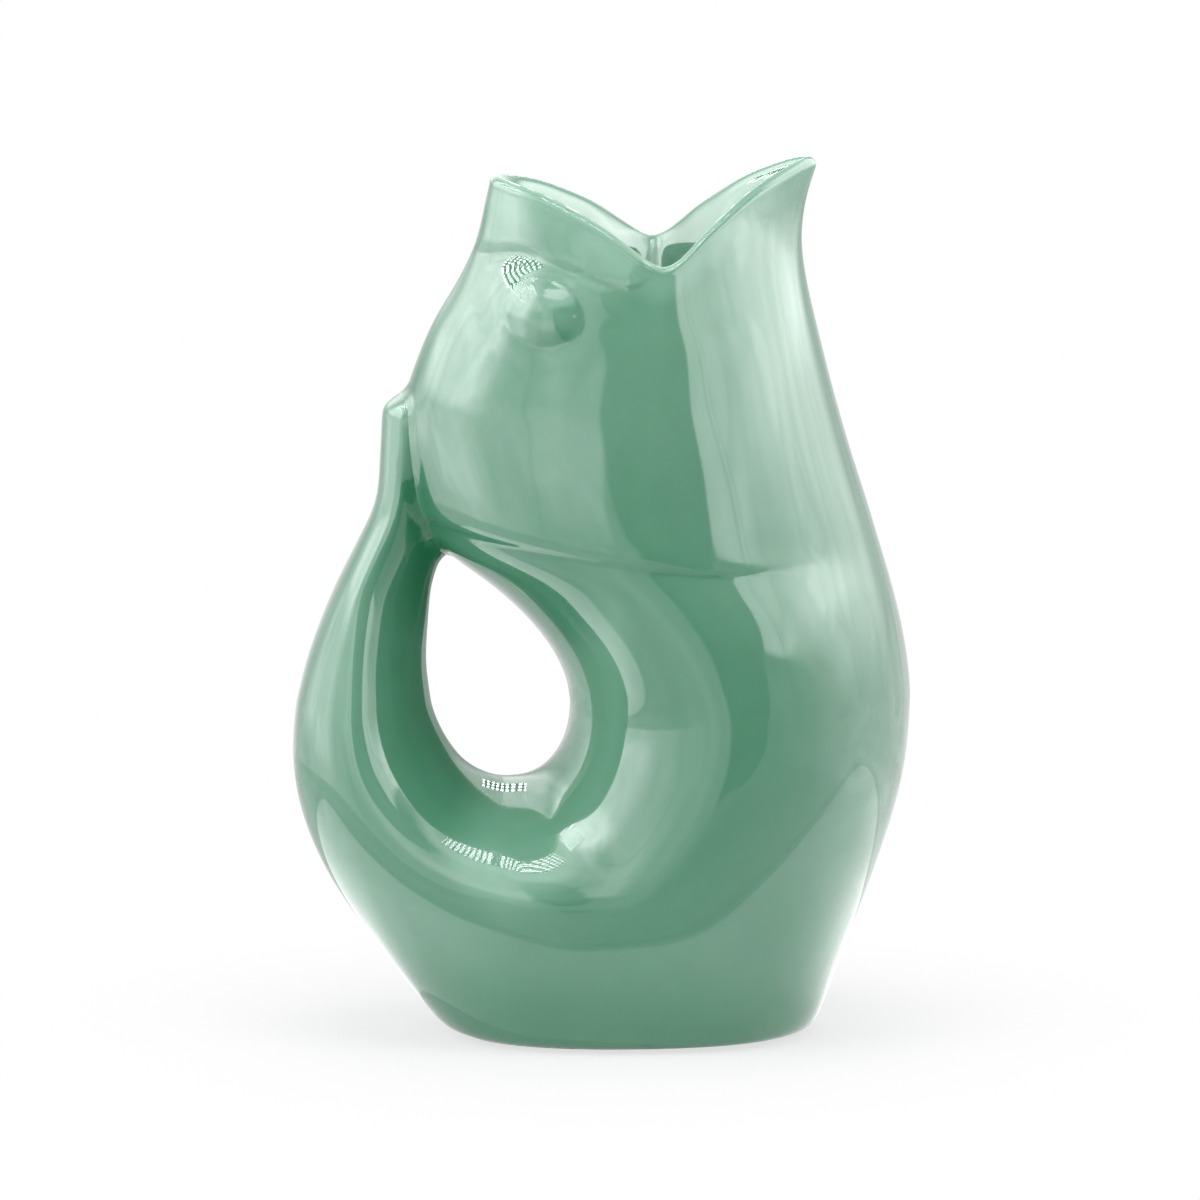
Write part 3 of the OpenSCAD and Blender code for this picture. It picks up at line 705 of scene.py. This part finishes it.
# The deep colour is pooled glaze and also painted shade in the nook by the tail; the thin colour is
# thin glaze and also painted light by the grip's hole
GLAZE_DEEP_AND_SHADED, GLAZE_THIN_AND_LIT = srgb(30, 118, 80), srgb(122, 174, 148)
CLAY_DARK, CLAY_LIGHT = srgb(150, 124, 96), srgb(216, 199, 172)
GLAZE_ROUGHNESS, GLAZE_IOR, CLAY_ROUGHNESS = 0.05, 1.52, 0.85
DEEP_AND_SHADE_SHARE, THIN_AND_LIT_SHARE, SPECK_SHARE = 0.85, 0.75, 0.08

# Noise by its scale, detail and roughness, and bumps by their strength and distance
CLOUD_NOISE, FINE_NOISE, RIPPLE_NOISE = (22.0, 3.0, 0.55), (160.0, 2.0, 0.5), (34.0, 1.0, 0.4)
GRAIN_NOISE, FOLD_NOISE, FOLD_WARP = (420.0, 4.0, 0.6), (5.0, 4.0, 0.6), 1.2
RIPPLE_BUMP, GRAIN_BUMP = (0.10, 0.0006), (0.5, 0.0002)


def glaze_material():
    """A glossy green glaze, clouded, deeper where it pools and where shade is painted, and paler where
    it runs thin and where light is painted.
    """
    mat, bsdf, coords = surface("celadon_glaze", GLAZE_ROUGHNESS)
    t = mat.node_tree
    bsdf.inputs["IOR"].default_value = GLAZE_IOR
    cloud, fine = noise(t, coords, *CLOUD_NOISE), noise(t, coords, *FINE_NOISE)
    tone = ramp(t, cloud.outputs["Fac"], 0.30, GLAZE_DARK, 0.72, GLAZE_LIGHT)
    pool_shade_light = node(t, "ShaderNodeAttribute", attribute_name="pool_shade_light").outputs["Fac"]
    pooled_and_shaded = node(t, "ShaderNodeMix", data_type="RGBA")
    pooled_and_shaded.inputs["B"].default_value = GLAZE_DEEP_AND_SHADED
    t.links.new(spread(t, pool_shade_light, 0.0, DEEPEST_POOL_AND_SHADE, 0.0, DEEP_AND_SHADE_SHARE), pooled_and_shaded.inputs["Factor"])
    t.links.new(tone, pooled_and_shaded.inputs["A"])
    thinned_and_lit = node(t, "ShaderNodeMix", data_type="RGBA")
    thinned_and_lit.inputs["B"].default_value = GLAZE_THIN_AND_LIT
    t.links.new(spread(t, pool_shade_light, 0.0, THINNEST_AND_MOST_LIT, 0.0, THIN_AND_LIT_SHARE), thinned_and_lit.inputs["Factor"])
    t.links.new(pooled_and_shaded.outputs["Result"], thinned_and_lit.inputs["A"])
    speck = node(t, "ShaderNodeMix", data_type="RGBA", blend_type="MULTIPLY")
    speck.inputs["Factor"].default_value = SPECK_SHARE
    t.links.new(thinned_and_lit.outputs["Result"], speck.inputs["A"])
    t.links.new(fine.outputs["Color"], speck.inputs["B"])
    t.links.new(speck.outputs["Result"], bsdf.inputs["Base Color"])
    bumped(t, bsdf, noise(t, coords, *RIPPLE_NOISE).outputs["Fac"], *RIPPLE_BUMP)
    return mat


def clay_material():
    """Bare fired clay, grained and rough."""
    mat, bsdf, coords = surface("bare_clay", CLAY_ROUGHNESS)
    t = mat.node_tree
    grain = noise(t, coords, *GRAIN_NOISE).outputs["Fac"]
    t.links.new(ramp(t, grain, 0.35, CLAY_DARK, 0.62, CLAY_LIGHT), bsdf.inputs["Base Color"])
    bumped(t, bsdf, grain, *GRAIN_BUMP)
    return mat


glaze, clay = glaze_material(), clay_material()
for obj, nodes, slot, mat in (
    [(glazed_body, ("body_shell",), "glaze", glaze), (glazed_tail, ("tail_handle",), "glaze", glaze),
     (glazed_fin, ("tail_fin",), "glaze", glaze), (bare_foot, ("foot_ring",), "clay", clay)]
    + [(dome, (name,), "glaze", glaze) for dome, name in eye_objects]
):
    obj.data.materials.append(mat)
    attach(obj, "root")
    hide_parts(*nodes)

# Floor, light and camera. Azimuths and elevations are in degrees, distances in metres.
scene.view_settings.view_transform = "Standard"
TARGET = Vector((-0.0002, 0, 0.1315))
AZIMUTH, ELEVATION, DISTANCE = -3, 9.35, 6.0
VIEW_WIDTH, SENSOR_WIDTH, CLIP_END = 0.36398, 36, 30
WHITE, FILL_STRENGTH = (1, 1, 1, 1), 0.32
FLOOR_REACH, FLOOR_LEVEL, FLOOR_COLOR = 6.0, -0.0001, (0.86, 0.86, 0.86, 1)
SHADOW_NEAR, SHADOW_FAR, SHADOW_PALE = 0.05, 0.19, 0.70
TENT_NEAR, TENT_REACH = (0.066, 0.050), 0.56
TENT_SHEET, TENT_WALL, TENT_TOP = 0.0006, 0.66, 0.96
TENT_COLUMNS, SHEET_ROWS, WALL_ROWS, ROOF_ROWS = 721, 401, 101, 41
TABLE_MIDDLE, TABLE_HALF, TABLE_TOP = 0.015, (0.345, 0.125), 0.001
SHEET_GATHER, ROOF_END = 1.6, 88
DOT_SCALE, DOT_RADIUS = 38.0, 0.34

# The tent's light by azimuth and height. The steps of the left panel are brightness, foot and span,
# the seams are azimuth, width and drop, and the table's edges are place and drop.
SLIT_LEFT, SLIT_RIGHT, SLIT_TOP, SLIT_GLOW = -10.5, 28.5, 0.62, 0.25
LEFT_STEPS = ((1.6, 0.02, 0.08), (3.4, 0.27, 0.09), (1.2, 0.45, 0.1))
CLOTH_SEAMS = ((-41, 1.3, 0.16), (38, 0.45, 0.30), (40.5, 0.4, 0.20))
TABLE_EDGES, TABLE_EDGE_WIDTH = ((1.0, 0.42), (1.055, 0.26)), 0.016
ROOF_GLOW, ROOF_DIM, ROOF_DIM_EDGE, ROOF_FOOT = 4.3, 1.5, 0.34, 0.76

# Name, azimuth, elevation, distance, size and strength
LAMPS = [
    ("lamp_left", -62, 24, 1.5, (1.2, 1.0), 2.6), ("lamp_right", 60, 28, 1.5, (1.2, 1.0), 1.7),
    ("lamp_front", 4, 25, 1.5, (0.9, 0.9), 0.6), ("lamp_back", 180, 40, 1.8, (1.2, 1.0), 1.5),
    ("lamp_top", 0, 84, 1.0, (0.7, 0.7), 3.2),
]
GRIDS = [
    ("grid_over", -20, 79, 0.60, (0.26, 0.20), 22.0), ("grid_left", -96, 54, 0.56, (0.24, 0.22), 26.0),
    ("grid_back", 180, 34, 0.50, (0.22, 0.07), 13.0),
]


def white_world():
    """White where the camera or the glaze looks, and dimmer as a light."""
    world = bpy.data.worlds.new("studio")
    scene.world = world
    world.use_nodes = True
    t = world.node_tree
    t.nodes.clear()
    out = node(t, "ShaderNodeOutputWorld")
    seen = node(t, "ShaderNodeBackground", Color=WHITE, Strength=1.0)
    fill = node(t, "ShaderNodeBackground", Color=WHITE, Strength=FILL_STRENGTH)
    path = node(t, "ShaderNodeLightPath")
    direct = node(t, "ShaderNodeMath", operation="MAXIMUM")
    both = node(t, "ShaderNodeMath", operation="MAXIMUM")
    t.links.new(path.outputs["Is Camera Ray"], direct.inputs[0])
    t.links.new(path.outputs["Is Glossy Ray"], direct.inputs[1])
    t.links.new(direct.outputs[0], both.inputs[0])
    t.links.new(path.outputs["Is Transmission Ray"], both.inputs[1])
    mix = node(t, "ShaderNodeMixShader")
    t.links.new(both.outputs[0], mix.inputs[0])
    t.links.new(fill.outputs[0], mix.inputs[1])
    t.links.new(seen.outputs[0], mix.inputs[2])
    t.links.new(mix.outputs[0], out.inputs["Surface"])


def floor_material():
    """A floor that takes the jug's shadow near it and is plain white farther out."""
    mat = bpy.data.materials.new("pale_floor")
    mat.use_nodes = True
    t = mat.node_tree
    t.nodes.clear()
    out = node(t, "ShaderNodeOutputMaterial")
    lit = node(t, "ShaderNodeBsdfDiffuse", Color=FLOOR_COLOR)
    white = node(t, "ShaderNodeEmission", Color=WHITE, Strength=1.0)
    path = node(t, "ShaderNodeLightPath")
    coords = node(t, "ShaderNodeTexCoord")
    far = node(t, "ShaderNodeVectorMath", operation="LENGTH")
    t.links.new(coords.outputs["Object"], far.inputs[0])
    fade = spread(
        t, far.outputs["Value"], SHADOW_NEAR, SHADOW_FAR, SHADOW_PALE, 1.0,
        interpolation_type="SMOOTHSTEP")
    amount = node(t, "ShaderNodeMath", operation="MULTIPLY")
    direct = node(t, "ShaderNodeMath", operation="MAXIMUM")
    t.links.new(path.outputs["Is Camera Ray"], direct.inputs[0])
    t.links.new(path.outputs["Is Glossy Ray"], direct.inputs[1])
    t.links.new(direct.outputs[0], amount.inputs[0])
    t.links.new(fade, amount.inputs[1])
    mix = node(t, "ShaderNodeMixShader")
    t.links.new(amount.outputs[0], mix.inputs[0])
    t.links.new(lit.outputs[0], mix.inputs[1])
    t.links.new(white.outputs[0], mix.inputs[2])
    t.links.new(mix.outputs[0], out.inputs["Surface"])
    return mat


def rectangle(name, half_width, half_depth, z=0.0):
    """A flat sheet of one face, added to the scene."""
    w, h = half_width, half_depth
    mesh = bpy.data.meshes.new(name)
    mesh.from_pydata([(-w, -h, z), (w, -h, z), (w, h, z), (-w, h, z)], [], [(0, 1, 2, 3)])
    sheet = bpy.data.objects.new(name, mesh)
    scene.collection.objects.link(sheet)
    return sheet


def add_floor():
    floor = rectangle("floor", FLOOR_REACH, FLOOR_REACH, FLOOR_LEVEL)
    floor.data.materials.append(floor_material())


def toward(azimuth, elevation, distance):
    """A place round the jug. Azimuth is measured from the camera's side, positive to the right."""
    a, e = math.radians(azimuth) + math.radians(AZIMUTH), math.radians(elevation)
    x, y, z = math.sin(a) * math.cos(e), -math.cos(a) * math.cos(e), math.sin(e)
    return TARGET + distance * Vector((x, y, z))


def aim(obj, place, axis):
    """Puts something at a place with one of its axes toward the jug."""
    obj.location = place
    obj.rotation_euler = (TARGET - obj.location).to_track_quat(axis, "Y").to_euler()


def lamp(name, azimuth, elevation, distance, size, strength):
    """A soft lamp for the jug's colour and its shadow; what the glaze mirrors is the tent."""
    light = bpy.data.lights.new(name, "AREA")
    light.shape = "RECTANGLE"
    light.size, light.size_y = size
    light.energy = strength * size[0] * size[1] * math.pi
    obj = bpy.data.objects.new(name, light)
    scene.collection.objects.link(obj)
    aim(obj, toward(azimuth, elevation, distance), "-Z")
    obj.visible_camera = False
    obj.visible_glossy = False


def glow_material(name, dotted=False):
    """Light by a mesh's own glow: through a net of round dots, or else through folded cloth."""
    mat = bpy.data.materials.new(name)
    mat.use_nodes = True
    t = mat.node_tree
    t.nodes.clear()
    out = node(t, "ShaderNodeOutputMaterial")
    light = node(t, "ShaderNodeEmission", Color=WHITE)
    glow = node(t, "ShaderNodeAttribute", attribute_name="glow")
    amount = node(t, "ShaderNodeMath", operation="MULTIPLY")
    coords = node(t, "ShaderNodeTexCoord")
    t.links.new(glow.outputs["Fac"], amount.inputs[0])
    if dotted:
        dots = node(
            t, "ShaderNodeTexVoronoi", voronoi_dimensions="2D", Scale=DOT_SCALE, Randomness=0.0)
        t.links.new(coords.outputs["Object"], dots.inputs["Vector"])
        inside = node(t, "ShaderNodeMath", operation="LESS_THAN")
        inside.inputs[1].default_value = DOT_RADIUS
        t.links.new(dots.outputs["Distance"], inside.inputs[0])
        t.links.new(inside.outputs[0], amount.inputs[1])
    else:
        folds = noise(t, coords, *FOLD_NOISE, distortion=FOLD_WARP)
        t.links.new(spread(t, folds.outputs["Fac"], 0.3, 0.7, 0.82, 1.18), amount.inputs[1])
    t.links.new(amount.outputs[0], light.inputs["Strength"])
    t.links.new(light.outputs[0], out.inputs["Surface"])
    return mat


def mirrored_only(obj):
    """Something of the studio that only the glaze shows."""
    obj.visible_camera = False
    obj.visible_diffuse = False
    obj.visible_shadow = False
    obj.visible_transmission = False


def within(degrees, left, right, soft_left, soft_right):
    """1 between two azimuths, fading to 0 past each."""
    return ease((degrees - left) / soft_left + 0.5) * ease((right - degrees) / soft_right + 0.5)


def past(value, start, span):
    """0 up to a start and 1 from a span past it."""
    return ease((value - start) / span)


def before(value, end, span):
    """1 up to a span before an end and 0 from the end on."""
    return ease((end - value) / span)


def bump(value, middle, width):
    return np.exp(-((value - middle) / width) ** 2)


def left_cloth(degrees, waved, z):
    """The light cloth left of the slit, with a bright strip high beside it."""
    bright = (0.3 + 1.5 * past(degrees, -52, 22)) * within(waved, -60, -11, 6, 3) * past(z, 0.08, 0.15)
    strip = 1.2 * past(z, 0.52, 0.1) * within(degrees, -64, -38, 8, 8)
    return bright * (1 - 0.4 * past(z, 0.34, 0.08)) + strip


def right_panel(degrees, waved, z):
    """The brightest cloth, right of the slit, whose foot sinks and softens farther round."""
    foot = 0.22 - 0.15 * past(degrees, 40, 40)
    soft = 0.03 + 0.24 * past(degrees, 38, 30)
    rise = ease((z - foot) / soft) * (4.1 + 2.6 * past(z, 0.24, 0.12) * past(degrees, 50, 25))
    top = 1 - past(z, 0.54, 0.08) * before(degrees, 74, 10)
    return rise * top * within(waved, SLIT_RIGHT, 129, 1.4, 18)


def table_glow(x, y, low, left, right):
    """The sheet under the jug: an oval table with a double edge, its glow dimmed close to the jug as a
    painted shadow of the jug, and the cloth outside it.
    """
    from_axis = np.hypot(x, y)
    # Painted shadow: the table's glow is lower close under the jug
    inside = 1.2 + 0.9 * past(from_axis, 0.05, 0.06)
    inside = inside + 0.6 * (left + right) * past(from_axis, 0.06, 0.09)
    outside = low - 0.55 * left * before(from_axis, TENT_REACH, 0.06)
    oval = np.hypot((x - TABLE_MIDDLE) / TABLE_HALF[0], y / TABLE_HALF[1])
    table = inside + (outside - inside) * past(oval, 0.98, 0.06)
    for edge, drop in TABLE_EDGES:
        table = table * (1 - drop * bump(oval, edge, TABLE_EDGE_WIDTH))
    return table


def tent_glow(degrees, x, y, z):
    """The light of the tent's cloth and table by azimuth from the camera, place and height."""
    from_axis = np.hypot(x, y)
    on_table = z < TABLE_TOP
    waved = degrees + 1.6 * np.sin(z * 11 + 1) + 0.7 * np.sin(z * 37) + 1.2 * np.sin(from_axis * 23)
    left, right = 3.3 * bump(degrees, -74, 40), 2.2 * bump(degrees, 88, 42)
    low = 0.9 + left + right + 0.6 * within(degrees, -36, -4, 14, 14)
    left_rise = sum(amount * past(z, foot, span) for amount, foot, span in LEFT_STEPS)
    left_panel = left_rise * within(degrees, -128, -66, 24, 20)
    back = (1.5 - 0.5 * np.sign(degrees)) * past(np.abs(degrees), 130, 20) * past(z, 0.22, 0.15)
    glow = low + left_panel + left_cloth(degrees, waved, z) + right_panel(degrees, waved, z) + back
    for seam, width, drop in CLOTH_SEAMS:
        glow = glow * (1 - drop * bump(waved - seam, 3 * np.sin(z * 9), width))
    glow = np.where(on_table, table_glow(x, y, low, left, right), glow)

    # The dim slit, which narrows to its foot and to nothing on the table
    lower = before(z, 0.30, 0.2)
    taper = np.where(on_table, np.clip((TENT_REACH - from_axis) / 0.08, 0, 2), 0)
    slit_left = SLIT_LEFT + 8 * lower + 9 * taper
    slit_right = SLIT_RIGHT + 2.5 * past(z, 0.5, 0.1) - 4 * lower - 3 * before(z, 0.08, 0.08)
    slit_right = slit_right - 6 * taper
    slit = within(waved, slit_left, slit_right, 2.4, 1.3) * (taper < 1.3) * before(z, SLIT_TOP, 0.12)
    return glow * (1 - slit) + (SLIT_GLOW + past(z, 0.1, 0.3)) * slit


def add_tent():
    """The cloth tent round the jug, with the slit that the camera looks through."""
    turns = np.radians(np.linspace(-180, 180, TENT_COLUMNS))
    a = turns[None, :] + math.radians(AZIMUTH)
    over = np.linspace(0, 1, SHEET_ROWS)[:, None] ** SHEET_GATHER
    up = np.linspace(0, 1, WALL_ROWS)[1:, None]
    roof = np.radians(np.linspace(0, ROOF_END, ROOF_ROWS))[1:, None]
    wall_and_roof = flat([TENT_REACH * np.ones_like(up), TENT_REACH * np.cos(roof)])
    reach_x, reach_y = [
        flat([near + (TENT_REACH - near) * over, wall_and_roof]) for near in TENT_NEAR]
    x, y = reach_x * np.sin(a), -(reach_y * np.cos(a))
    heights = flat([
        TENT_SHEET * np.ones_like(over), TENT_SHEET + TENT_WALL * up,
        TENT_WALL + (TENT_TOP - TENT_WALL) * np.sin(roof)])
    z = heights * np.ones_like(a)
    glow = tent_glow(np.degrees(turns)[None, :], x, y, z)
    roof_glow = ROOF_GLOW - ROOF_DIM * before(np.hypot(x, y), ROOF_DIM_EDGE, 0.16)
    glow = glow + (roof_glow - glow) * past(z, ROOF_FOOT, 0.14)
    points = np.stack([x, y, z], -1).reshape(-1, 3)
    n, m = x.shape
    i, j = np.arange(n - 1)[:, None] * m, np.arange(m - 1)[None, :]
    faces = np.stack([i + j, i + j + 1, i + m + j + 1, i + m + j], -1).reshape(-1, 4)
    mesh = bpy.data.meshes.new("tent")
    mesh.from_pydata(points.tolist(), [], faces.tolist())
    layer = mesh.attributes.new("glow", "FLOAT", "POINT")
    layer.data.foreach_set("value", glow.ravel().astype(np.float32))
    tent = bpy.data.objects.new("tent", mesh)
    scene.collection.objects.link(tent)
    mesh.materials.append(glow_material("tent_cloth"))
    mirrored_only(tent)


def add_lamp_grid(name, azimuth, elevation, distance, size, strength):
    """A bright panel of small lamps over the tent, which the glaze mirrors as a net of dots."""
    panel = rectangle(name, size[0] / 2, size[1] / 2)
    layer = panel.data.attributes.new("glow", "FLOAT", "POINT")
    layer.data.foreach_set("value", np.full(4, strength, np.float32))
    aim(panel, toward(azimuth, elevation, distance), "Z")
    panel.data.materials.append(glow_material(name + "_dots", dotted=True))
    mirrored_only(panel)


def add_camera():
    """A long lens from far off, so that the view is nearly without perspective."""
    data = bpy.data.cameras.new("camera")
    camera = bpy.data.objects.new("camera", data)
    scene.collection.objects.link(camera)
    scene.camera = camera
    aim(camera, toward(0, ELEVATION, DISTANCE), "-Z")
    data.sensor_width = SENSOR_WIDTH
    data.sensor_fit = "HORIZONTAL"
    data.lens = SENSOR_WIDTH * DISTANCE / VIEW_WIDTH
    data.clip_end = CLIP_END


white_world()
add_floor()
for row in LAMPS:
    lamp(*row)
add_tent()
for row in GRIDS:
    add_lamp_grid(*row)
add_camera()
